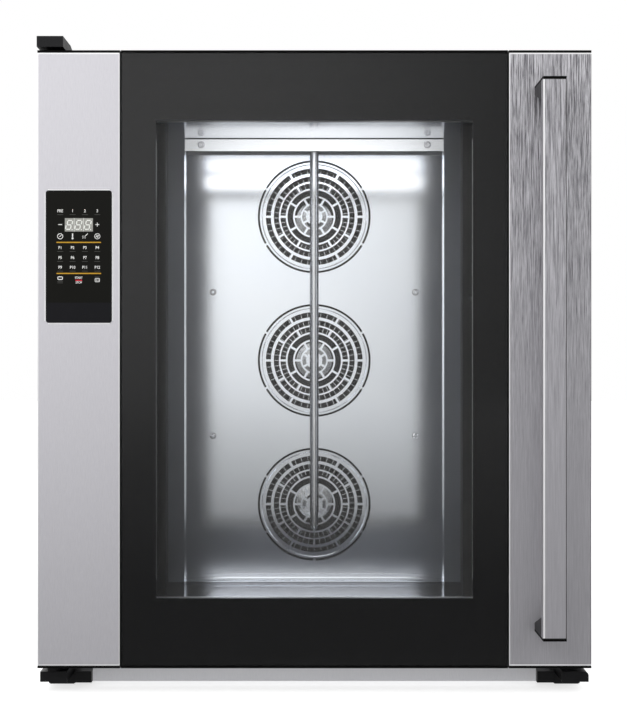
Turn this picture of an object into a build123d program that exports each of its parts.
from build123d import *
import math
import os

# Ten-tray convection oven with a full-width hinged glass door.
# Millimetres. X runs across the front, the front faces -Y, Z is up, and the floor is Z = 0.

# Sheet and clearances
SHEET = 1.5
FLAT_GAP = 0.3
RUNNING_CLEARANCE = 0.05
HOLE_CLEARANCE = 0.5
FACETS = 12

# Cabinet
SIDE_SPACE = 73.5
TOP_SPACE = 53.0
REAR_SPACE = 14.5
BASE_HEIGHT = 38.0
PANEL_FLANGE = 12.0

# Door
DOOR_FRONT_Y = -330.5
DOOR_DEPTH = 60.0
DOOR_GAP = 10.0
DOOR_OVERHANG = 1.5
DOOR_LIFT = 2.3
DOOR_RISE = 0.5
END_CAP = 2.7
END_CAP_RIM = 12.0
END_CAP_WALL = 2.0
FASCIA_WIDTH = 119.2
FASCIA_GAP = 1.3
FASCIA_BEND = 1.2
PANE = 5.0
MASK = 0.6
BORDER_SIDE = 50.5
BORDER_LOW = 100.4
BORDER_HIGH = 101.1
FRAME_MARGIN = 6.0
INNER_PANE_MARGIN = 27.0
PANEL_WINDOW_MARGIN = 5.0
LIGHT_BAR_DEPTH = 14.0
LIGHT_BAR_WIDTH = 5.0
LIGHT_BAR_END = 25.0

# Door hinge
HINGE_INSET = 19.0
PIN_RADIUS = 6.0
BUSH_WALL = 3.0
BUSH_FLANGE = 3.5
BUSH_LENGTH = 26.0
HINGE_BOSS_WALL = 5.0
PIN_IN_DOOR = 30.0
PIN_IN_BLOCK = 9.0
CAP_GAP = 4.0
CAP_HEIGHT = 15.5
CAP_WIDTH = 38.0
CAP_OVERHANG = 5.0
CAP_TOP_LENGTH = 63.0
CAP_SLOPE = 30.0
CAP_ARM_HEIGHT = 12.0
CAP_ARM_END = 60.0

# Handle
HANDLE_INSET = 37.2
HANDLE_WIDTH = 32.7
HANDLE_PROJECTION = 75.0
HANDLE_BAR = 18.0
HANDLE_WALL = 1.5
HANDLE_LOW = 53.7
HANDLE_DROP = 52.5
HANDLE_CAP = 3.2
BRACKET_WIDTH = 26.0
BRACKET_AT_DOOR = 9.0
BRACKET_AT_BAR = 27.0

# Control panel
CONTROL_INSET = 59.2
CONTROL_DROP = 298.0
CONTROL_WIDTH = 95.2
CONTROL_HEIGHT = 191.0
CONTROL_CORNER = 4.0
CONTROL_LIP = 1.2
CONTROL_RIM = 1.3
CONTROL_DEPTH = 9.5
CONTROL_WALL = 2.0
OVERLAY = 0.8
LOWER_SECTION = 29.0
BOARD = 1.6

# Oven cavity
CAVITY_FLOOR = 47.0
CAVITY_HEIGHT = 794.0
CAVITY_DEPTH = 505.0
INSULATION = 33.0
REAR_INSULATION = 38.0

# Gasket
GASKET_OFFSET = 8.0
GASKET_WIDTH = 15.0
GASKET_BASE = 2.5
GASKET_BULB = 9.0
GASKET_CORNER = 16.0

# Fans, heaters and the slotted baffle
FAN_END_SPACE = 18.5
FAN_RISE = 2.5
FAN_LEVELS = {"lower": -1, "middle": 0, "upper": 1}
BAFFLE_STANDOFF = 78.5
BAFFLE_HALF_WIDTH = 234.0
BAFFLE_EDGE_GAP = 0.5
SLOT_BRIDGE = 4.0
SLOT_RINGS = [(98.6, 100.6), (78.0, 87.0), (63.5, 72.7), (51.2, 60.6),
              (38.0, 48.0), (24.4, 34.8), (14.7, 21.5)]
SLOT_CHORD = 24.0
BRIDGES = 6
WHEEL_RADIUS = 93.0
WHEEL_EYE = 66.0
WHEEL_WIDTH = 48.0
WHEEL_SHEET = 1.2
WHEEL_GAP = 14.0
BLADES = 24
BLADE_ROOT = 50.0
BLADE_TIP_INSET = 2.0
HUB_RADIUS = 14.0
HUB_LENGTH = 24.0
SHAFT_RADIUS = 8.0
SHAFT_NOSE = 16.0
SHAFT_IN_MOTOR = 30.0
NUT_RADIUS = 11.0
NUT_HEIGHT = 8.0
SHAFT_HOLE_GAP = 4.0
HEATER_RADIUS = 110.0
HEATER_TUBE = 4.25
HEATER_FROM_WALL = 40.0
HEATER_GAP_ANGLE = 24.0
HEATER_CHORDS = 20
HEATER_TAIL = 14.0
MOTOR_RADIUS = 52.0
MOTOR_LENGTH = 70.0
MOTOR_CAP_RADIUS = 36.0
MOTOR_CAP = 9.0
MOTOR_FLANGE = 118.0
MOTOR_FLANGE_SHEET = 6.0

# Baffle fittings and steam tube
CHANNEL_DEPTH = 20.0
CHANNEL_OVERLAP = 2.0
CHANNEL_WIDTH = 33.0
CHANNEL_LIP = 6.0
SCREW_INSET = 52.0
SCREW_DROP = 6.5
SCREW_RADIUS = 3.0
SCREW_HEAD = 6.5
SCREW_HEAD_HEIGHT = 3.5
SCREW_BOSS = 8.0
TUBE_RADIUS = 8.0
TUBE_STANDOFF = 13.0
TUBE_RISE = 98.0
TUBE_NECK = 30.0
TUBE_NOSE_RADIUS = 4.0
TUBE_TAPER = 6.0
COVER_HEIGHT = 22.0
COVER_STANDOFF = 30.0
COVER_HEM = 5.0
COVER_SCREW_INSET = 33.0
COVER_SCREW_DROP = 11.0

# Tray racks
TRAY_PITCH = 80.0
TRAY_RISE = 25.0
TRAY_HEADROOM = 45.0
TRAY_HALF_WIDTH = 300.0
RAIL_BEARING = 12.0
RAIL_PLAY = 10.0
RAIL_SHEET = 1.2
RAIL_LIP = 12.0
RACK_POST = 10.0
RACK_FRONT = 10.5
RACK_REAR_GAP = 9.5
RACK_POST_INSET = 30.0
RACK_END_GAP = 5.0
PEG_HALF = 4.0
PEG_LENGTH = 3.8

# Latch
LATCH_INSET = 20.5
STUD_NECK = 4.0
STUD_HEAD = 6.5
STUD_NECK_LENGTH = 30.5
STUD_HEAD_LENGTH = 8.0
STUD_CHAMBER = 10.0
LATCH_HALF_WIDTH = 16.0
LATCH_DEPTH = 54.0
LATCH_BELOW = 20.0
LATCH_ABOVE = 50.0
PLUNGER_WIDTH = 10.0
PLUNGER_LENGTH = 26.0
PLUNGER_TRAVEL = 4.0
PLUNGER_SETBACK = 7.0
PLUNGER_NOSE = 2.0
LATCH_SPRING = 10.0

# Feet and drip pan
PAD_HEIGHT = 16.0
PAD_INSET = 2.5
PAD_WIDTH = 39.5
PAD_FRONT = 5.0
PAD_LENGTH = 50.0
PAD_CHAMFER = 2.0
STOP_WIDTH = 25.0
STOP_LOW = 3.0
STOP_HEIGHT = 17.0
STOP_FRONT = 1.0
STOP_LENGTH = 33.0
BLOCK_WIDTH = 39.0
BLOCK_HEIGHT = 15.0
BLOCK_REACH = 10.0
BLOCK_LENGTH = 120.5
BLOCK_ROUND = 6.0
REAR_FOOT_SIDE = 48.5
REAR_FOOT_INSET = 45.0
REAR_FOOT_RADIUS = 20.0
REAR_FOOT_PAD = 8.0
REAR_FOOT_STEM = 12.0
PAN_END_GAP = 3.5
PAN_SHEET = 1.2
PAN_LOW = 7.0
PAN_REACH = 9.0
PAN_FLANGE = 25.0

# Rear services
FITTING_LENGTH = 20.5
FITTING_COLLAR = 3.0
COLLAR_REACH = 6.0
PIPE_WALL = 1.5
EXHAUST_SIDE = 175.0
EXHAUST_FALL = 44.0
EXHAUST_RADIUS = 30.0
DRAIN_X = 0.0
DRAIN_FROM_WALL = 304.5
DRAIN_DROP = 23.0
DRAIN_RADIUS = 14.0
SERVICE_SIDE = 68.5
SERVICE_RISE = 42.0
INLET_RADIUS = 13.2
INLET_BORE = 9.0
INLET_HEX = 16.0
GLAND_RADIUS = 12.5
GLAND_CLAMP_BORE = 8.0
GLAND_THREAD_BORE = 9.0
GLAND_HEX = 18.0
GLAND_DOME = 16.0
BACK_NUT = 5.0
PROBE_SIDE = 33.0
PROBE_RISE = 115.5
PROBE_RADIUS = 3.0
PROBE_LENGTH = 80.0
PROBE_FLANGE = 9.0
LOUVRE_COUNT = 8
LOUVRE_LENGTH = 110.0
LOUVRE_WIDTH = 6.0
LOUVRE_PITCH = 22.0
VENT_SIDE = 108.5
LOUVRE_RISE = 212.0
COOLER_FALL = 192.0
COOLER_SIZE = 92.0
COOLER_DEPTH = 25.0
COOLER_DUCT = 41.0
COOLER_TIP_GAP = 2.5
COOLER_HUB = 16.0
COOLER_BLADES = 7
COOLER_PITCH_ANGLE = 35.0
COOLER_BLADE_SHEET = 1.6
COOLER_STRUT = 5.0
COOLER_PIN = 3.0
POWER_RISE = 442.0
POWER_WIDTH = 130.0
POWER_HEIGHT = 220.0
POWER_STANDOFF = 8.0
POST_INSET = 8.5
RELAY_SIZE = 26.0
RELAY_HEIGHT = 18.0
RELAY_GAP = 13.0
RELAY_COUNT = 4

# Widths worked out from the tray outwards
LIP = TRAY_HALF_WIDTH + RAIL_PLAY
POST = LIP + RAIL_SHEET
CAVITY_HALF_WIDTH = POST + RACK_POST + PEG_LENGTH
CABINET_HALF_WIDTH = CAVITY_HALF_WIDTH + SIDE_SPACE
SHELL_HALF_WIDTH = CABINET_HALF_WIDTH - SHEET
DOOR_HALF_WIDTH = CABINET_HALF_WIDTH + DOOR_OVERHANG
FASCIA_INNER = DOOR_HALF_WIDTH - FASCIA_WIDTH
GLASS_HALF_WIDTH = FASCIA_INNER - FASCIA_GAP
WINDOW_HALF_WIDTH = GLASS_HALF_WIDTH - BORDER_SIDE
PAD_OUTER = CABINET_HALF_WIDTH + SHEET - PAD_INSET
PAD_INNER = PAD_OUTER - PAD_WIDTH
PAN_HALF_WIDTH = PAD_INNER - STOP_WIDTH - PAN_END_GAP

# Heights worked out from the base upwards
CAVITY_LOW = BASE_HEIGHT + CAVITY_FLOOR
CAVITY_HIGH = CAVITY_LOW + CAVITY_HEIGHT
CABINET_TOP = CAVITY_HIGH + TOP_SPACE
SHELL_LOW = BASE_HEIGHT + SHEET
SHELL_HIGH = CABINET_TOP - SHEET
DOOR_LOW = BASE_HEIGHT + DOOR_LIFT
DOOR_HIGH = CABINET_TOP + DOOR_RISE
DOOR_MIDDLE = (DOOR_LOW + DOOR_HIGH) / 2
SKIN_LOW = DOOR_LOW + END_CAP
SKIN_HIGH = DOOR_HIGH - END_CAP
WINDOW = (WINDOW_HALF_WIDTH, DOOR_LOW + BORDER_LOW, DOOR_HIGH - BORDER_HIGH)
FIRST_RAIL = CAVITY_LOW + TRAY_RISE
TRAY_LEVELS = 1 + int((CAVITY_HEIGHT - TRAY_RISE - TRAY_HEADROOM) / TRAY_PITCH)
FAN_MIDDLE_Z = (CAVITY_LOW + CAVITY_HIGH) / 2 + FAN_RISE
FAN_PITCH = (CAVITY_HEIGHT - FAN_END_SPACE) / len(FAN_LEVELS)
TUBE_END = CAVITY_LOW + TUBE_RISE
TUBE_STEP = TUBE_END + TUBE_NECK
DRAIN_Z = CAVITY_LOW - DRAIN_DROP

# Depths worked out from the door's front backwards
DOOR_REAR_Y = DOOR_FRONT_Y + DOOR_DEPTH
PANEL_FRONT_Y = DOOR_REAR_Y - SHEET
PANE_REAR_Y = DOOR_FRONT_Y + PANE
MASK_REAR_Y = PANE_REAR_Y + MASK
INNER_PANE_Y = PANEL_FRONT_Y - PANE
FRAME_Y = DOOR_REAR_Y + DOOR_GAP
WALL_Y = FRAME_Y + CAVITY_DEPTH
LINER_REAR_Y = WALL_Y + SHEET
PLATE_Y = LINER_REAR_Y + REAR_INSULATION
MOTOR_Y = PLATE_Y + SHEET
REAR_Y = MOTOR_Y + MOTOR_FLANGE_SHEET + MOTOR_LENGTH + MOTOR_CAP + REAR_SPACE
BAFFLE_REAR_Y = WALL_Y - BAFFLE_STANDOFF
BAFFLE_Y = BAFFLE_REAR_Y - SHEET
CHANNEL_Y = BAFFLE_Y - CHANNEL_DEPTH
TUBE_Y = BAFFLE_Y - TUBE_STANDOFF
COVER_Y = BAFFLE_Y - COVER_STANDOFF
HUB_FRONT_Y = WALL_Y - WHEEL_GAP - HUB_LENGTH
HEATER_Y = WALL_Y - HEATER_FROM_WALL
DRAIN_Y = WALL_Y - DRAIN_FROM_WALL
FITTING_Y = REAR_Y + FITTING_LENGTH

# Places of single pieces
HINGE_X = -DOOR_HALF_WIDTH + HINGE_INSET
HINGE_Y = (DOOR_FRONT_Y + DOOR_REAR_Y) / 2
HANDLE_X = FASCIA_INNER + HANDLE_INSET
CONTROL_X = -FASCIA_INNER - CONTROL_INSET
CONTROL_Z = DOOR_HIGH - CONTROL_DROP
LATCH_X = CABINET_HALF_WIDTH - LATCH_INSET
LATCH_Z = DOOR_MIDDLE
REAR_FOOT_X = CABINET_HALF_WIDTH - REAR_FOOT_SIDE
SCREW_X = BAFFLE_HALF_WIDTH - SCREW_INSET
SCREW_LEVELS = [FAN_MIDDLE_Z + half * FAN_PITCH - SCREW_DROP for half in (-0.5, 0.5)]
COVER_SCREW_X = BAFFLE_HALF_WIDTH - COVER_SCREW_INSET
EXHAUST_X = CAVITY_HALF_WIDTH - EXHAUST_SIDE
EXHAUST_Z = CAVITY_HIGH - EXHAUST_FALL
INLET_X = SERVICE_SIDE - CABINET_HALF_WIDTH
GLAND_X = -INLET_X
INLET_Z = BASE_HEIGHT + SERVICE_RISE
GLAND_Z = INLET_Z
PROBE_X = CAVITY_HALF_WIDTH - PROBE_SIDE
PROBE_Z = FAN_MIDDLE_Z + PROBE_RISE
LOUVRE_X = CABINET_HALF_WIDTH - VENT_SIDE
LOUVRE_Z = BASE_HEIGHT + LOUVRE_RISE
COOLER_X = -LOUVRE_X
COOLER_Z = CABINET_TOP - COOLER_FALL
POWER_X = -LOUVRE_X
POWER_Z = BASE_HEIGHT + POWER_RISE


def fan_z(level):
    """Height of a fan's axis."""
    return FAN_MIDDLE_Z + FAN_LEVELS[level] * FAN_PITCH


def rect(x0, x1, y0, y1):
    """Rectangle between two pairs of sides, in the plane it is drawn in."""
    return Pos((x0 + x1) / 2, (y0 + y1) / 2) * Rectangle(x1 - x0, y1 - y0)


def frontal(half_width, low, high):
    """Rectangle seen from the front, centred on X."""
    return rect(-half_width, half_width, low, high)


def slab(outline, front, rear):
    """Outline seen from the front, X to the right and Z up, made solid from front to rear."""
    return extrude(Plane.XZ.offset(-rear) * outline, rear - front)


def column(outline, low, high):
    """Outline seen from above, in X and Y, made solid from low to high."""
    return extrude(Plane.XY.offset(low) * outline, high - low)


def rail(outline, left, right):
    """Outline seen from the side, in Y and Z, made solid from left to right."""
    return extrude(Plane.YZ.offset(left) * outline, right - left)


def disc(radius, x, z):
    """Circle seen from the front."""
    return Pos(x, z) * Circle(radius)


def hexagon(radius, x, z):
    """Spanner hexagon seen from the front, with its across-flats half as radius."""
    return Pos(x, z) * RegularPolygon(radius, 6, major_radius=False)


def many_sided(radius, x, z, sides=FACETS):
    """Plain round seen from the front, for what repeats or stays hidden: flats round a circle."""
    return Pos(x, z) * RegularPolygon(radius, sides, major_radius=False)


def grown(window, margin):
    """The window's rectangle, larger by a margin on every side."""
    half_width, low, high = window
    return frontal(half_width + margin, low - margin, high + margin)


def outline(points):
    """Closed straight-sided face."""
    return make_face(Polyline(points, close=True))


def pattern(places, shape):
    """One sketch holding the shape at each place."""
    return Sketch() + [place * shape for place in places]


def rear_openings():
    """What passes through the rear wall: shafts, heater tails, exhaust and probe."""
    holes = many_sided(EXHAUST_RADIUS + HOLE_CLEARANCE, EXHAUST_X, EXHAUST_Z)
    holes += many_sided(PROBE_RADIUS + HOLE_CLEARANCE, PROBE_X, PROBE_Z)
    for level in FAN_LEVELS:
        holes += many_sided(SHAFT_RADIUS + SHAFT_HOLE_GAP, 0, fan_z(level))
        for x, z in heater_tails(level):
            holes += Pos(x, z) * heater_section(HOLE_CLEARANCE)
    return holes


def heater_section(margin=0):
    """Six-sided section of a heater, or of a hole round it."""
    return RegularPolygon(HEATER_TUBE + margin, 6)


def heater_tails(level):
    """Where a heater's two tails pass through the rear wall."""
    half = math.radians(HEATER_GAP_ANGLE / 2)
    x = HEATER_RADIUS * math.cos(half)
    rise = HEATER_RADIUS * math.sin(half)
    return [(x, fan_z(level) - rise), (x, fan_z(level) + rise)]


# Cabinet

def cavity_liner():
    inside = frontal(CAVITY_HALF_WIDTH, CAVITY_LOW, CAVITY_HIGH)
    outside = frontal(CAVITY_HALF_WIDTH + SHEET, CAVITY_LOW - SHEET, CAVITY_HIGH + SHEET)
    tub = slab(outside, FRAME_Y + SHEET, LINER_REAR_Y) - slab(inside, FRAME_Y + SHEET, WALL_Y)
    for x in (-SCREW_X, SCREW_X):
        for z in SCREW_LEVELS:
            tub += slab(hexagon(SCREW_BOSS, x, z), BAFFLE_REAR_Y, WALL_Y)
    tub -= slab(rear_openings(), WALL_Y, LINER_REAR_Y)
    drain = many_sided(DRAIN_RADIUS - PIPE_WALL, DRAIN_X, DRAIN_Y)
    return tub - column(drain, CAVITY_LOW - SHEET, CAVITY_LOW)


def insulation():
    liner = frontal(CAVITY_HALF_WIDTH + SHEET, CAVITY_LOW - SHEET, CAVITY_HIGH + SHEET)
    reach = SHEET + INSULATION
    jacket = frontal(CAVITY_HALF_WIDTH + reach, CAVITY_LOW - reach, CAVITY_HIGH + reach)
    wool = slab(jacket, FRAME_Y + SHEET, PLATE_Y) - slab(liner, FRAME_Y + SHEET, LINER_REAR_Y)
    wool -= slab(rear_openings(), LINER_REAR_Y, PLATE_Y)
    trench = DRAIN_RADIUS + HOLE_CLEARANCE
    path = rect(DRAIN_X - trench, DRAIN_X + trench, DRAIN_Y - trench, PLATE_Y)
    return wool - column(path, CAVITY_LOW - reach, CAVITY_LOW - SHEET)


def front_frame():
    opening = frontal(CAVITY_HALF_WIDTH, CAVITY_LOW, CAVITY_HIGH)
    face = frontal(SHELL_HALF_WIDTH, SHELL_LOW, SHELL_HIGH)
    inner = frontal(SHELL_HALF_WIDTH - SHEET, SHELL_LOW + SHEET, SHELL_HIGH - SHEET)
    frame = slab(face - opening, FRAME_Y, FRAME_Y + SHEET)
    frame += slab(face - inner, FRAME_Y + SHEET, FRAME_Y + SHEET + PANEL_FLANGE)
    return frame - slab(stud_chamber(), FRAME_Y, FRAME_Y + SHEET)


def side_panel(side):
    wall = rect(SHELL_HALF_WIDTH, CABINET_HALF_WIDTH, FRAME_Y, REAR_Y)
    flange = rect(SHELL_HALF_WIDTH - PANEL_FLANGE, SHELL_HALF_WIDTH, REAR_Y - 2 * SHEET, REAR_Y - SHEET)
    panel = column(wall + flange, SHELL_LOW, SHELL_HIGH)
    return panel if side > 0 else mirror(panel, Plane.YZ)


def flat_panel(low):
    face = rect(-CABINET_HALF_WIDTH, CABINET_HALF_WIDTH, FRAME_Y, REAR_Y)
    return column(face, low, low + SHEET)


def rear_panel():
    face = frontal(SHELL_HALF_WIDTH, SHELL_LOW, SHELL_HIGH)
    face -= many_sided(EXHAUST_RADIUS + HOLE_CLEARANCE, EXHAUST_X, EXHAUST_Z)
    face -= many_sided(DRAIN_RADIUS + HOLE_CLEARANCE, DRAIN_X, DRAIN_Z)
    face -= many_sided(INLET_RADIUS, INLET_X, INLET_Z)
    face -= many_sided(GLAND_RADIUS, GLAND_X, GLAND_Z)
    face -= many_sided(COOLER_DUCT, COOLER_X, COOLER_Z)
    slots = GridLocations(0, LOUVRE_PITCH, 1, LOUVRE_COUNT)
    louvres = pattern(slots, Rectangle(LOUVRE_LENGTH, LOUVRE_WIDTH))
    for x in (-LOUVRE_X, LOUVRE_X):
        face -= Pos(x, LOUVRE_Z) * louvres
    return slab(face, REAR_Y - SHEET, REAR_Y)


def motor_plate():
    face = frontal(SHELL_HALF_WIDTH, SHELL_LOW, SHELL_HIGH) - rear_openings()
    face -= many_sided(DRAIN_RADIUS + HOLE_CLEARANCE, DRAIN_X, DRAIN_Z)
    return slab(face, PLATE_Y, MOTOR_Y)


def door_gasket():
    """Silicone ring round the opening: a flat foot with a raised bead that the door meets."""
    def loop(offset, corner):
        width = 2 * (CAVITY_HALF_WIDTH + offset)
        height = CAVITY_HEIGHT + 2 * offset
        return Pos(0, (CAVITY_LOW + CAVITY_HIGH) / 2) * RectangleRounded(width, height, corner)

    def ring(inset, width, front, rear):
        offset = GASKET_OFFSET + inset
        face = loop(offset + width, GASKET_CORNER + width) - loop(offset, GASKET_CORNER)
        return slab(face, front, rear)

    foot = ring(0, GASKET_WIDTH, FRAME_Y - GASKET_BASE, FRAME_Y)
    inset = (GASKET_WIDTH - GASKET_BULB) / 2
    return foot + ring(inset, GASKET_BULB, DOOR_REAR_Y + FLAT_GAP, FRAME_Y - GASKET_BASE)


# Baffle, fans and heaters

def slot_ring(inner, outer):
    """Ring of curved slots in short chords, parted by bridges a steady width across."""
    sides = BRIDGES * max(2, round(outer / SLOT_CHORD))
    ring = RegularPolygon(outer, sides) - RegularPolygon(inner, sides)
    bars = [Rot(0, 0, 360 / BRIDGES * k) * Rectangle(2 * outer + SLOT_BRIDGE, SLOT_BRIDGE)
            for k in range(BRIDGES // 2)]
    return ring - bars


def fan_guard():
    """Slots over one fan, each ring's bridges halfway between the last one's."""
    guard = Sketch()
    for k, (inner, outer) in enumerate(SLOT_RINGS):
        guard += Rot(0, 0, 180 / BRIDGES * ((k + 1) % 2)) * slot_ring(inner, outer)
    return guard


def fan_baffle():
    face = frontal(BAFFLE_HALF_WIDTH, CAVITY_LOW + BAFFLE_EDGE_GAP, CAVITY_HIGH - BAFFLE_EDGE_GAP)
    guard = fan_guard()
    for level in FAN_LEVELS:
        face -= Pos(0, fan_z(level)) * guard
    for x in (-SCREW_X, SCREW_X):
        for z in SCREW_LEVELS:
            face -= hexagon(SCREW_RADIUS, x, z)
    return slab(face, BAFFLE_Y, BAFFLE_REAR_Y)


def baffle_channels():
    """Folded strip down each side of the baffle, stepping forward of it."""
    inner = BAFFLE_HALF_WIDTH - CHANNEL_OVERLAP
    outer = inner + CHANNEL_WIDTH
    profile = rect(inner, inner + SHEET, CHANNEL_Y, BAFFLE_Y)
    profile += rect(inner, outer, CHANNEL_Y, CHANNEL_Y + SHEET)
    profile += rect(outer - SHEET, outer, CHANNEL_Y, CHANNEL_Y + CHANNEL_LIP)
    strip = column(profile, CAVITY_LOW, CAVITY_HIGH)
    return [strip, mirror(strip, Plane.YZ)]


def tube_cover():
    """Strip under the ceiling that hides the tube's upper end."""
    low = CAVITY_HIGH - COVER_HEIGHT
    profile = rect(COVER_Y, COVER_Y + SHEET, low, CAVITY_HIGH)
    profile += rect(COVER_Y, BAFFLE_Y, CAVITY_HIGH - SHEET, CAVITY_HIGH)
    profile += rect(COVER_Y, COVER_Y + COVER_HEM, low, low + SHEET)
    half_width = BAFFLE_HALF_WIDTH - 2 * CHANNEL_OVERLAP
    cover = rail(profile, -half_width, half_width)
    notch = Pos(0, TUBE_Y) * Circle(TUBE_RADIUS)
    cover -= column(notch, CAVITY_HIGH - SHEET, CAVITY_HIGH)
    for x in (-COVER_SCREW_X, COVER_SCREW_X):
        cover -= slab(hexagon(SCREW_RADIUS, x, CAVITY_HIGH - COVER_SCREW_DROP), COVER_Y, COVER_Y + SHEET)
    return cover


def screw(x, z, seat):
    """Hexagon-headed screw through a sheet whose front is the seat."""
    head = slab(hexagon(SCREW_HEAD, x, z), seat - SCREW_HEAD_HEIGHT, seat)
    return head + slab(hexagon(SCREW_RADIUS, x, z), seat, seat + SHEET)


def baffle_screws():
    screws = [screw(x, z, BAFFLE_Y) for x in (-SCREW_X, SCREW_X) for z in SCREW_LEVELS]
    level = CAVITY_HIGH - COVER_SCREW_DROP
    return screws + [screw(x, level, COVER_Y) for x in (-COVER_SCREW_X, COVER_SCREW_X)]


def steam_tube():
    """Tube that hangs from the ceiling in front of the baffle, drawn in at its lower end."""
    neck = TUBE_RADIUS - SHEET / 2
    taper = TUBE_END + TUBE_TAPER
    profile = outline([(0, CAVITY_HIGH), (TUBE_RADIUS, CAVITY_HIGH), (TUBE_RADIUS, TUBE_STEP),
                       (neck, TUBE_STEP), (neck, taper), (TUBE_NOSE_RADIUS, TUBE_END), (0, TUBE_END)])
    return Pos(0, TUBE_Y, 0) * revolve(Plane.XZ * profile, Axis.Z)


def heater(level):
    """Ring heater round a fan wheel, its two tails running back through the wall."""
    z = fan_z(level)
    step = (360 - HEATER_GAP_ANGLE) / HEATER_CHORDS
    angles = [math.radians(HEATER_GAP_ANGLE / 2 + step * k) for k in range(HEATER_CHORDS + 1)]
    ring = [(HEATER_RADIUS * math.cos(a), HEATER_Y, z + HEATER_RADIUS * math.sin(a)) for a in angles]
    tail_y = MOTOR_Y + HEATER_TAIL
    start = (ring[0][0], tail_y, ring[0][2])
    end = (ring[-1][0], tail_y, ring[-1][2])
    path = Polyline([start, *ring, end])
    section = Plane(origin=start, x_dir=(1, 0, 0), z_dir=(0, -1, 0)) * heater_section()
    return sweep(section, path, transition=Transition.RIGHT)


def fan_wheel(level):
    """Radial fan wheel with its hub, nut and shaft."""
    z = fan_z(level)
    place = Pos(0, z)
    rear = WALL_Y - WHEEL_GAP
    front = rear - WHEEL_WIDTH
    tip = WHEEL_RADIUS - BLADE_TIP_INSET
    blade = rect(BLADE_ROOT, tip, -WHEEL_SHEET / 2, WHEEL_SHEET / 2)
    blades = pattern([Rot(0, 0, 360 / BLADES * k) for k in range(BLADES)], blade)
    rim = RegularPolygon(WHEEL_RADIUS, BLADES)
    wheel = slab(place * rim, rear - WHEEL_SHEET, rear)
    wheel += slab(place * blades, front + WHEEL_SHEET, rear - WHEEL_SHEET)
    wheel += slab(place * (rim - RegularPolygon(WHEEL_EYE, BLADES)), front, front + WHEEL_SHEET)
    wheel += slab(many_sided(HUB_RADIUS, 0, z), HUB_FRONT_Y, rear)
    wheel += slab(hexagon(NUT_RADIUS, 0, z), HUB_FRONT_Y - NUT_HEIGHT, HUB_FRONT_Y)
    wheel += slab(many_sided(SHAFT_RADIUS, 0, z), HUB_FRONT_Y - SHAFT_NOSE, HUB_FRONT_Y - NUT_HEIGHT)
    return wheel + slab(disc(SHAFT_RADIUS, 0, z), rear, MOTOR_Y + SHAFT_IN_MOTOR)


def motor(level):
    """Fan motor: square flange, casing and end cap, with a bearing bore."""
    z = fan_z(level)
    casing_y = MOTOR_Y + MOTOR_FLANGE_SHEET
    end_y = casing_y + MOTOR_LENGTH
    body = slab(Pos(0, z) * Rectangle(MOTOR_FLANGE, MOTOR_FLANGE), MOTOR_Y, casing_y)
    body += slab(many_sided(MOTOR_RADIUS, 0, z), casing_y, end_y)
    body += slab(many_sided(MOTOR_CAP_RADIUS, 0, z), end_y, end_y + MOTOR_CAP)
    bore = disc(SHAFT_RADIUS + RUNNING_CLEARANCE, 0, z)
    return body - slab(bore, MOTOR_Y, MOTOR_Y + SHAFT_IN_MOTOR + FLAT_GAP)


def temperature_probe():
    tip = WALL_Y - PROBE_LENGTH
    probe = slab(disc(PROBE_RADIUS, PROBE_X, PROBE_Z), tip, MOTOR_Y)
    return probe + slab(hexagon(PROBE_FLANGE, PROBE_X, PROBE_Z), WALL_Y - SHEET, WALL_Y)


# Tray racks

def tray_rack(side):
    """Posts on wall pegs with an angle rail for each tray."""
    front = FRAME_Y + RACK_FRONT
    rear = CHANNEL_Y - RACK_REAR_GAP
    post_ys = (front + RACK_POST_INSET, rear - RACK_POST_INSET)
    profile = rect(TRAY_HALF_WIDTH - RAIL_BEARING, POST, 0, RAIL_SHEET) + rect(LIP, POST, 0, RAIL_LIP)
    angle = slab(profile, front, rear)
    rack = Part() + [Pos(0, 0, FIRST_RAIL + TRAY_PITCH * k) * angle for k in range(TRAY_LEVELS)]
    high = FIRST_RAIL + TRAY_PITCH * TRAY_LEVELS - TRAY_PITCH / 2
    low = CAVITY_LOW + RACK_END_GAP
    for y in post_ys:
        rack += column(rect(POST, POST + RACK_POST, y - RACK_POST / 2, y + RACK_POST / 2), low, high)
        for z in (FIRST_RAIL + RAIL_LIP * 2, high - RAIL_LIP):
            peg = rect(y - PEG_HALF, y + PEG_HALF, z - PEG_HALF, z + PEG_HALF)
            rack += rail(peg, POST + RACK_POST, CAVITY_HALF_WIDTH)
    return rack if side > 0 else mirror(rack, Plane.YZ)


# Feet, hinge blocks and drip pan

def front_foot(side):
    """Foot pad with the stop beside it."""
    front = FRAME_Y + PAD_FRONT
    pad = column(rect(PAD_INNER, PAD_OUTER, front, front + PAD_LENGTH), 0, PAD_HEIGHT)
    pad = chamfer(pad.faces().sort_by(Axis.Z)[0].edges(), PAD_CHAMFER)
    stop_front = FRAME_Y + STOP_FRONT
    stop = rect(PAD_INNER - STOP_WIDTH, PAD_INNER, stop_front, stop_front + STOP_LENGTH)
    foot = pad + column(stop, STOP_LOW, STOP_LOW + STOP_HEIGHT)
    return foot if side > 0 else mirror(foot, Plane.YZ)


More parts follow.
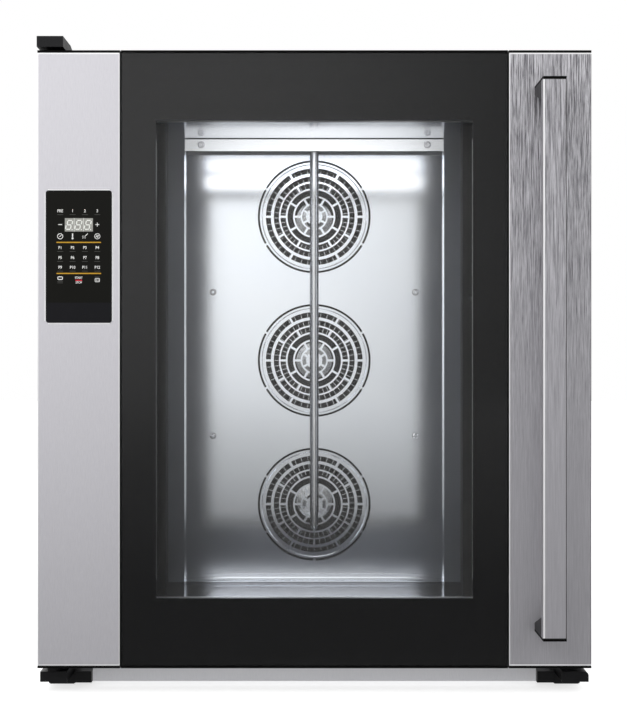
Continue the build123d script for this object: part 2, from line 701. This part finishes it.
def hinge_block(side):
    """Polymer block under the cabinet's front corner; the left one carries the door."""
    front = HINGE_Y - BLOCK_REACH
    top = PAD_HEIGHT + BLOCK_HEIGHT
    step = FRAME_Y + SHEET
    rear = front + BLOCK_LENGTH
    profile = outline([(front, PAD_HEIGHT), (front, top), (step, top), (step, BASE_HEIGHT),
                       (rear, BASE_HEIGHT), (rear, PAD_HEIGHT)])
    outer = DOOR_HALF_WIDTH
    block = rail(profile, outer - BLOCK_WIDTH, outer)
    if side > 0:
        top_edges = block.edges().filter_by(Axis.Y).filter_by_position(Axis.Z, top - SHEET, top + SHEET)
        return fillet(top_edges.sort_by(Axis.X)[-1], BLOCK_ROUND)
    block = mirror(block, Plane.YZ)
    boss = many_sided(PIN_RADIUS + BUSH_WALL, HINGE_X, HINGE_Y)
    block += column(boss, top, DOOR_LOW - FLAT_GAP)
    bore = Pos(HINGE_X, HINGE_Y) * Circle(PIN_RADIUS)
    return block - column(bore, DOOR_LOW - FLAT_GAP - PIN_IN_BLOCK * 2, DOOR_LOW)


def hinge_cap():
    """Upper hinge arm, reaching over the door from the cabinet's roof."""
    front = DOOR_FRONT_Y - CAP_OVERHANG
    low = DOOR_HIGH + CAP_GAP
    high = low + CAP_HEIGHT
    step = FRAME_Y + SHEET
    arm = CABINET_TOP + CAP_ARM_HEIGHT
    slope = front + CAP_TOP_LENGTH
    rear = FRAME_Y + CAP_ARM_END
    profile = outline([(front, low), (front, high), (slope, high), (slope + CAP_SLOPE, arm),
                       (rear, arm), (rear, CABINET_TOP), (step, CABINET_TOP), (step, low)])
    cap = rail(profile, -DOOR_HALF_WIDTH, -DOOR_HALF_WIDTH + CAP_WIDTH)
    boss = many_sided(PIN_RADIUS + HINGE_BOSS_WALL, HINGE_X, HINGE_Y)
    cap += column(boss, DOOR_HIGH + FLAT_GAP, low)
    bore = Pos(HINGE_X, HINGE_Y) * Circle(PIN_RADIUS)
    return cap - column(bore, DOOR_HIGH, low + PIN_IN_BLOCK)


def hinge_pins():
    pin = Pos(HINGE_X, HINGE_Y) * Circle(PIN_RADIUS)
    lower_end = DOOR_LOW - FLAT_GAP - PIN_IN_BLOCK * 2
    upper_end = DOOR_HIGH + CAP_GAP + PIN_IN_BLOCK
    lower = column(pin, lower_end, DOOR_LOW + PIN_IN_DOOR)
    upper = column(pin, DOOR_HIGH - PIN_IN_DOOR, upper_end)
    return [lower, upper]


def rear_feet():
    """Levelling feet: a round pad under a hexagon stem."""
    foot = column(Circle(REAR_FOOT_RADIUS), 0, REAR_FOOT_PAD)
    foot += column(hexagon(REAR_FOOT_STEM, 0, 0), REAR_FOOT_PAD, BASE_HEIGHT)
    return [Pos(x, REAR_Y - REAR_FOOT_INSET, 0) * foot for x in (-REAR_FOOT_X, REAR_FOOT_X)]


def drip_pan():
    """Gutter that catches what runs off the door, hung from the base by a flange."""
    front = FRAME_Y - PAN_REACH
    gutter = rect(front, FRAME_Y, PAN_LOW, BASE_HEIGHT)
    gutter = fillet(gutter.vertices().sort_by(Axis.Y)[:2], PAN_REACH / 2 - PAN_SHEET / 2)
    hollow = rect(front + PAN_SHEET, FRAME_Y - PAN_SHEET, PAN_LOW + PAN_SHEET, BASE_HEIGHT)
    hollow = fillet(hollow.vertices().sort_by(Axis.Y)[:2], PAN_REACH / 2 - PAN_SHEET * 1.5)
    flange = rect(FRAME_Y - PAN_SHEET, FRAME_Y + PAN_FLANGE, BASE_HEIGHT - PAN_SHEET, BASE_HEIGHT)
    return rail(gutter - hollow + flange, -PAN_HALF_WIDTH, PAN_HALF_WIDTH)


# Rear services

def exhaust_pipe():
    bore = many_sided(EXHAUST_RADIUS - PIPE_WALL, EXHAUST_X, EXHAUST_Z, 2 * FACETS)
    collar = many_sided(EXHAUST_RADIUS + COLLAR_REACH, EXHAUST_X, EXHAUST_Z)
    pipe = slab(disc(EXHAUST_RADIUS, EXHAUST_X, EXHAUST_Z), WALL_Y, FITTING_Y)
    pipe += slab(collar, REAR_Y, REAR_Y + FITTING_COLLAR)
    return pipe - slab(bore, WALL_Y, FITTING_Y)


def drain_pipe():
    """Pipe from the floor drain, with a mitred elbow, run back to the rear."""
    top = (DRAIN_Y, CAVITY_LOW - SHEET)
    corner = (DRAIN_Y, DRAIN_Z)
    end = (FITTING_Y, DRAIN_Z)
    path = Plane.YZ.offset(DRAIN_X) * Polyline(top, corner, end)
    start = Plane(origin=(DRAIN_X, DRAIN_Y, CAVITY_LOW - SHEET), z_dir=(0, 0, -1))
    bore = RegularPolygon(DRAIN_RADIUS - PIPE_WALL, 2 * FACETS)
    ring = start * Circle(DRAIN_RADIUS) - start * bore
    pipe = sweep(ring, path, transition=Transition.RIGHT)
    collar = many_sided(DRAIN_RADIUS + COLLAR_REACH, DRAIN_X, DRAIN_Z) - disc(DRAIN_RADIUS, DRAIN_X, DRAIN_Z)
    return pipe + slab(collar, REAR_Y, REAR_Y + FITTING_COLLAR)


def water_inlet():
    inner_y = REAR_Y - SHEET - BACK_NUT
    fitting = slab(disc(INLET_RADIUS, INLET_X, INLET_Z), REAR_Y + BACK_NUT, FITTING_Y)
    fitting += slab(hexagon(INLET_HEX, INLET_X, INLET_Z), REAR_Y, REAR_Y + BACK_NUT)
    fitting += slab(many_sided(INLET_RADIUS, INLET_X, INLET_Z), REAR_Y - SHEET, REAR_Y)
    fitting += slab(hexagon(INLET_HEX, INLET_X, INLET_Z), inner_y, REAR_Y - SHEET)
    return fitting - slab(many_sided(INLET_BORE, INLET_X, INLET_Z), inner_y, FITTING_Y)


def cable_gland():
    inner_y = REAR_Y - SHEET - BACK_NUT
    gland = slab(many_sided(GLAND_DOME, GLAND_X, GLAND_Z), REAR_Y + BACK_NUT, FITTING_Y)
    gland = chamfer(gland.faces().sort_by(Axis.Y)[-1].edges(), FITTING_COLLAR)
    gland += slab(hexagon(GLAND_HEX, GLAND_X, GLAND_Z), REAR_Y, REAR_Y + BACK_NUT)
    gland += slab(many_sided(GLAND_RADIUS, GLAND_X, GLAND_Z), REAR_Y - SHEET, REAR_Y)
    gland += slab(hexagon(GLAND_HEX, GLAND_X, GLAND_Z), inner_y, REAR_Y - SHEET)
    gland -= slab(disc(GLAND_THREAD_BORE, GLAND_X, GLAND_Z), inner_y, REAR_Y + BACK_NUT)
    return gland - slab(disc(GLAND_CLAMP_BORE, GLAND_X, GLAND_Z), REAR_Y + BACK_NUT, FITTING_Y)


def cooling_fan_frame():
    """Square duct with a hub held by struts, on the inside of the rear panel."""
    rear = REAR_Y - SHEET
    front = rear - COOLER_DEPTH
    centre = Pos(COOLER_X, COOLER_Z)
    opening = many_sided(COOLER_DUCT, 0, 0)
    duct = Rectangle(COOLER_SIZE, COOLER_SIZE) - opening
    struts = many_sided(COOLER_HUB, 0, 0) + Rectangle(COOLER_SIZE, COOLER_STRUT)
    struts += Rectangle(COOLER_STRUT, COOLER_SIZE)
    frame = slab(centre * duct, front, rear) + slab(centre * struts, front, front + COOLER_STRUT)
    return frame + slab(centre * Circle(COOLER_PIN), front + COOLER_STRUT, rear - COOLER_STRUT)


def cooling_fan_rotor():
    front = REAR_Y - SHEET - COOLER_DEPTH + COOLER_STRUT + COOLER_BLADE_SHEET
    rear = REAR_Y - SHEET - COOLER_STRUT + COOLER_BLADE_SHEET
    width = rear - front
    tip = COOLER_DUCT - COOLER_TIP_GAP
    chord = width / math.cos(math.radians(COOLER_PITCH_ANGLE)) - COOLER_BLADE_SHEET
    blade = Box(tip - COOLER_HUB / 2, COOLER_BLADE_SHEET, chord)
    blade = Pos((tip + COOLER_HUB / 2) / 2, 0, 0) * Rot(COOLER_PITCH_ANGLE, 0, 0) * blade
    hub = extrude(RegularPolygon(COOLER_HUB, 2 * COOLER_BLADES), width / 2, both=True)
    rotor = hub + [Rot(0, 0, 360 / COOLER_BLADES * k) * blade for k in range(COOLER_BLADES)]
    rotor -= Pos(0, 0, -COOLER_BLADE_SHEET) * Cylinder(COOLER_PIN + RUNNING_CLEARANCE, width)
    return Pos(COOLER_X, (front + rear) / 2, COOLER_Z) * Rot(-90, 0, 0) * rotor


def power_board():
    """Circuit board on posts, with a row of relays and a terminal block."""
    x0 = POWER_X - POWER_WIDTH / 2
    z0 = POWER_Z - POWER_HEIGHT / 2
    board_y = MOTOR_Y + POWER_STANDOFF
    top_y = board_y + BOARD
    board = slab(rect(x0, x0 + POWER_WIDTH, z0, z0 + POWER_HEIGHT), board_y, top_y)
    corners = GridLocations(POWER_WIDTH - 2 * POST_INSET, POWER_HEIGHT - 2 * POST_INSET, 2, 2)
    posts = pattern(corners, hexagon(SCREW_RADIUS, 0, 0))
    board += slab(Pos(POWER_X, POWER_Z) * posts, MOTOR_Y, board_y)
    relay_pitch = RELAY_SIZE + RELAY_GAP
    relays = pattern(GridLocations(0, relay_pitch, 1, RELAY_COUNT), Rectangle(RELAY_SIZE, RELAY_SIZE))
    board += slab(Pos(POWER_X - POWER_WIDTH / 4, POWER_Z) * relays, top_y, top_y + RELAY_HEIGHT)
    terminals = Rectangle(RELAY_SIZE / 2, RELAY_COUNT * relay_pitch)
    return board + slab(Pos(POWER_X + POWER_WIDTH / 4, POWER_Z) * terminals, top_y, top_y + RELAY_HEIGHT / 2)


# Latch

def stud_chamber():
    """Square way in for the stud's head, seen from the front."""
    return Pos(LATCH_X, LATCH_Z) * Rectangle(2 * STUD_CHAMBER, 2 * STUD_CHAMBER)


def plunger_section(margin=0):
    """Square section of the plunger, or of its channel, where it drops into the stud's neck."""
    y = DOOR_REAR_Y + STUD_NECK_LENGTH - PLUNGER_SETBACK
    size = PLUNGER_WIDTH + 2 * margin
    return Pos(LATCH_X, y) * Rectangle(size, size)


def latch_housing():
    """Block behind the front frame with a chamber for the stud and a channel for the plunger."""
    front = FRAME_Y + SHEET
    rear = front + LATCH_DEPTH
    block = slab(rect(LATCH_X - LATCH_HALF_WIDTH, LATCH_X + LATCH_HALF_WIDTH,
                      LATCH_Z - LATCH_BELOW, LATCH_Z + LATCH_ABOVE), front, rear)
    block -= slab(stud_chamber(), front, rear - STUD_CHAMBER)
    channel_top = LATCH_Z + STUD_NECK + FLAT_GAP + PLUNGER_LENGTH + PLUNGER_TRAVEL + LATCH_SPRING
    return block - column(plunger_section(RUNNING_CLEARANCE), LATCH_Z, channel_top)


def latch_plunger():
    """Sprung bolt with a bevelled nose, lifted by the stud's head as the door shuts."""
    nose = LATCH_Z + STUD_NECK + FLAT_GAP
    plunger = column(plunger_section(), nose, nose + PLUNGER_LENGTH)
    return chamfer(plunger.faces().sort_by(Axis.Z)[0].edges(), PLUNGER_NOSE)


# Door

def door_frame():
    """Channel-section ring that carries the panes, open to the rear."""
    half_width = GLASS_HALF_WIDTH - HOLE_CLEARANCE
    face = frontal(half_width, SKIN_LOW, SKIN_HIGH)
    core = frontal(half_width - SHEET, SKIN_LOW + SHEET, SKIN_HIGH - SHEET)
    window = grown(WINDOW, FRAME_MARGIN)
    lining = grown(WINDOW, FRAME_MARGIN + SHEET)
    frame = slab(face - window, MASK_REAR_Y, MASK_REAR_Y + SHEET)
    frame += slab(face - core, MASK_REAR_Y, PANEL_FRONT_Y)
    return frame + slab(lining - window, MASK_REAR_Y, INNER_PANE_Y)


def door_inner_panel():
    """Rear sheet of the door, with the latch stud welded on."""
    face = frontal(DOOR_HALF_WIDTH, SKIN_LOW, SKIN_HIGH) - grown(WINDOW, FRAME_MARGIN + PANEL_WINDOW_MARGIN)
    panel = slab(face, PANEL_FRONT_Y, DOOR_REAR_Y)
    neck_end = DOOR_REAR_Y + STUD_NECK_LENGTH
    panel += slab(many_sided(STUD_NECK, LATCH_X, LATCH_Z), DOOR_REAR_Y, neck_end)
    head = slab(many_sided(STUD_HEAD, LATCH_X, LATCH_Z), neck_end, neck_end + STUD_HEAD_LENGTH)
    head = chamfer(head.faces().sort_by(Axis.Y)[-1].edges(), STUD_HEAD - STUD_NECK)
    return panel + head


def door_fascia(side):
    """Brushed steel strip folded back on both edges."""
    outer = rect(FASCIA_INNER, DOOR_HALF_WIDTH, DOOR_FRONT_Y, PANEL_FRONT_Y)
    front_corners = outer.vertices().sort_by(Axis.Y)[:2]
    outer = fillet(front_corners, FASCIA_BEND)
    inner = rect(FASCIA_INNER + SHEET, DOOR_HALF_WIDTH - SHEET, DOOR_FRONT_Y + SHEET, PANEL_FRONT_Y)
    strip = column(outer - inner, SKIN_LOW, SKIN_HIGH)
    if side > 0:
        return strip
    strip = mirror(strip, Plane.YZ)
    cutout = Pos(CONTROL_X, CONTROL_Z) * RectangleRounded(CONTROL_WIDTH - 2 * CONTROL_RIM,
                                                          CONTROL_HEIGHT - 2 * CONTROL_RIM, CONTROL_CORNER)
    return strip - slab(cutout, DOOR_FRONT_Y, DOOR_FRONT_Y + SHEET)


def door_outer_glass():
    return slab(frontal(GLASS_HALF_WIDTH, SKIN_LOW, SKIN_HIGH), DOOR_FRONT_Y, PANE_REAR_Y)


def door_glass_mask():
    """Opaque printed border behind the outer pane."""
    face = frontal(GLASS_HALF_WIDTH, SKIN_LOW, SKIN_HIGH) - grown(WINDOW, 0)
    return slab(face, PANE_REAR_Y, MASK_REAR_Y)


def door_inner_glass():
    return slab(grown(WINDOW, INNER_PANE_MARGIN), INNER_PANE_Y, PANEL_FRONT_Y)


def door_light_bars():
    """Lamp strips on the frame's window lining, hidden by the printed border."""
    outer = WINDOW_HALF_WIDTH + FRAME_MARGIN
    front = MASK_REAR_Y + SHEET
    bar = rect(outer - LIGHT_BAR_WIDTH, outer, WINDOW[1] + LIGHT_BAR_END, WINDOW[2] - LIGHT_BAR_END)
    strip = slab(bar, front, front + LIGHT_BAR_DEPTH)
    return [strip, mirror(strip, Plane.YZ)]


def end_cap(inner, outer, hinged):
    """Cap over the top of one stretch of the door, rimmed to fit inside it."""
    plate = column(rect(inner, outer, DOOR_FRONT_Y, DOOR_REAR_Y), SKIN_HIGH, DOOR_HIGH)
    if not hinged:
        return plate
    left = inner + SHEET
    right = outer - SHEET
    front = DOOR_FRONT_Y + SHEET
    rim = rect(left, right, front, PANEL_FRONT_Y)
    core = rect(left + END_CAP_WALL, right - END_CAP_WALL, front + END_CAP_WALL, PANEL_FRONT_Y - END_CAP_WALL)
    cap = plate + column(rim - core, SKIN_HIGH - END_CAP_RIM, SKIN_HIGH)
    return cap


def bush_hexagon(radius):
    """Hexagon round the hinge axis, seen from above."""
    return hexagon(radius, HINGE_X, HINGE_Y)


def door_end_caps():
    """Black caps along the top and bottom edges, parted where the strips meet the glass."""
    caps = [end_cap(-DOOR_HALF_WIDTH, -FASCIA_INNER, True),
            end_cap(-GLASS_HALF_WIDTH, GLASS_HALF_WIDTH, False),
            end_cap(FASCIA_INNER, DOOR_HALF_WIDTH, True)]
    low = DOOR_HIGH - BUSH_LENGTH
    boss = column(bush_hexagon(PIN_RADIUS + BUSH_WALL + HINGE_BOSS_WALL), low, SKIN_HIGH)
    caps[0] = caps[0] + boss - column(bush_hexagon(PIN_RADIUS + BUSH_WALL), low, DOOR_HIGH)
    return caps + [mirror(cap, Plane.XY.offset(DOOR_MIDDLE)) for cap in caps]


def door_bushes():
    """Flanged hexagon sleeves, fast in the end caps, that turn on the hinge pins."""
    bore = Pos(HINGE_X, HINGE_Y) * Circle(PIN_RADIUS + RUNNING_CLEARANCE)
    low = DOOR_HIGH - BUSH_LENGTH
    bush = column(bush_hexagon(PIN_RADIUS + BUSH_WALL), low - SHEET, DOOR_HIGH)
    bush += column(bush_hexagon(PIN_RADIUS + BUSH_WALL + BUSH_FLANGE), low - SHEET, low)
    bush -= column(bore, low - SHEET, DOOR_HIGH)
    return [bush, mirror(bush, Plane.XY.offset(DOOR_MIDDLE))]


# Handle

def handle_span():
    """Heights of the two ends of the bar, inside its end caps."""
    return DOOR_LOW + HANDLE_LOW + HANDLE_CAP, DOOR_HIGH - HANDLE_DROP - HANDLE_CAP


def handle_bar():
    front = DOOR_FRONT_Y - HANDLE_PROJECTION
    section = rect(HANDLE_X, HANDLE_X + HANDLE_WIDTH, front, front + HANDLE_BAR)
    outer = fillet(section.vertices(), HANDLE_WALL)
    inner = rect(HANDLE_X + HANDLE_WALL, HANDLE_X + HANDLE_WIDTH - HANDLE_WALL,
                 front + HANDLE_WALL, front + HANDLE_BAR - HANDLE_WALL)
    return column(outer - inner, *handle_span())


def handle_brackets():
    """Tapered posts from the door to each end of the bar."""
    low, high = handle_span()
    bar_rear = DOOR_FRONT_Y - HANDLE_PROJECTION + HANDLE_BAR

    def post(end, inward):
        side = outline([(DOOR_FRONT_Y, end), (bar_rear, end), (bar_rear, end + inward * BRACKET_AT_BAR),
                        (DOOR_FRONT_Y, end + inward * BRACKET_AT_DOOR)])
        return rail(side, HANDLE_X, HANDLE_X + BRACKET_WIDTH)

    return [post(low, 1), post(high, -1)]


def handle_end_caps():
    low, high = handle_span()
    plate = rect(HANDLE_X, HANDLE_X + HANDLE_WIDTH, DOOR_FRONT_Y - HANDLE_PROJECTION, DOOR_FRONT_Y)
    return [column(plate, low - HANDLE_CAP, low), column(plate, high, high + HANDLE_CAP)]


# Control panel

def control_bezel():
    """Black moulding set in the left strip, with a seat for the touch overlay."""
    centre = Pos(CONTROL_X, CONTROL_Z)
    front = DOOR_FRONT_Y - CONTROL_LIP
    rear = DOOR_FRONT_Y + CONTROL_DEPTH
    lip = RectangleRounded(CONTROL_WIDTH, CONTROL_HEIGHT, CONTROL_CORNER)
    width = CONTROL_WIDTH - 2 * CONTROL_RIM - HOLE_CLEARANCE
    height = CONTROL_HEIGHT - 2 * CONTROL_RIM - HOLE_CLEARANCE
    body = RectangleRounded(width, height, CONTROL_CORNER)
    core = Rectangle(width - 2 * CONTROL_WALL, height - 2 * CONTROL_WALL)
    bezel = slab(centre * lip, front, DOOR_FRONT_Y) + slab(centre * body, DOOR_FRONT_Y, rear)
    bezel -= slab(centre * core, DOOR_FRONT_Y + SHEET, rear)
    return bezel - slab(overlay_outline(), front, front + OVERLAY)


def overlay_outline():
    """Upper touch area of the control panel."""
    half = CONTROL_WIDTH / 2 - CONTROL_RIM
    low = CONTROL_Z - CONTROL_HEIGHT / 2 + LOWER_SECTION
    high = CONTROL_Z + CONTROL_HEIGHT / 2 - CONTROL_RIM
    return rect(CONTROL_X - half, CONTROL_X + half, low, high)


def control_overlay():
    front = DOOR_FRONT_Y - CONTROL_LIP
    return slab(overlay_outline(), front, front + OVERLAY)


def control_board():
    rear = DOOR_FRONT_Y + CONTROL_DEPTH
    width = CONTROL_WIDTH - 2 * CONTROL_RIM - CONTROL_WALL
    height = CONTROL_HEIGHT - 2 * CONTROL_RIM - CONTROL_WALL
    board = slab(Pos(CONTROL_X, CONTROL_Z) * Rectangle(width, height), rear, rear + BOARD)
    chip = Pos(CONTROL_X, CONTROL_Z) * Rectangle(RELAY_SIZE, RELAY_SIZE)
    return board + slab(chip, rear + BOARD, rear + 2 * BOARD)


def save(name, shape):
    """Write one sub-part, whose pieces stay separate solids."""
    solids = shape if isinstance(shape, list) else [shape]
    shape = Compound(children=[s for piece in solids for s in piece.solids()])
    export_step(shape, os.path.join("parts", name + ".step"))


def build():
    pieces = {
        "cavity_liner": cavity_liner(),
        "insulation": insulation(),
        "front_frame": front_frame(),
        "side_panel_left": side_panel(-1),
        "side_panel_right": side_panel(1),
        "top_panel": flat_panel(CABINET_TOP - SHEET),
        "base_panel": flat_panel(BASE_HEIGHT),
        "rear_panel": rear_panel(),
        "motor_plate": motor_plate(),
        "door_gasket": door_gasket(),
        "fan_baffle": fan_baffle(),
        "baffle_channels": baffle_channels(),
        "tube_cover": tube_cover(),
        "baffle_screws": baffle_screws(),
        "steam_tube": steam_tube(),
        "rack_left": tray_rack(-1),
        "rack_right": tray_rack(1),
        "temperature_probe": temperature_probe(),
        "drip_pan": drip_pan(),
        "foot_front_left": front_foot(-1),
        "foot_front_right": front_foot(1),
        "feet_rear": rear_feet(),
        "hinge_block_left": hinge_block(-1),
        "hinge_block_right": hinge_block(1),
        "hinge_cap": hinge_cap(),
        "hinge_pins": hinge_pins(),
        "exhaust_pipe": exhaust_pipe(),
        "drain_pipe": drain_pipe(),
        "water_inlet": water_inlet(),
        "cable_gland": cable_gland(),
        "power_board": power_board(),
        "cooling_fan_frame": cooling_fan_frame(),
        "cooling_fan_rotor": cooling_fan_rotor(),
        "latch_housing": latch_housing(),
        "latch_plunger": latch_plunger(),
        "door_frame": door_frame(),
        "door_inner_panel": door_inner_panel(),
        "door_fascia_left": door_fascia(-1),
        "door_fascia_right": door_fascia(1),
        "door_outer_glass": door_outer_glass(),
        "door_glass_mask": door_glass_mask(),
        "door_inner_glass": door_inner_glass(),
        "door_light_bars": door_light_bars(),
        "door_end_caps": door_end_caps(),
        "door_bushes": door_bushes(),
        "handle_bar": handle_bar(),
        "handle_brackets": handle_brackets(),
        "handle_end_caps": handle_end_caps(),
        "control_bezel": control_bezel(),
        "control_overlay": control_overlay(),
        "control_board": control_board(),
    }
    for level in FAN_LEVELS:
        pieces["heater_" + level] = heater(level)
        pieces["motor_" + level] = motor(level)
        pieces["fan_wheel_" + level] = fan_wheel(level)
    os.makedirs("parts", exist_ok=True)
    for name, shape in pieces.items():
        save(name, shape)


build()
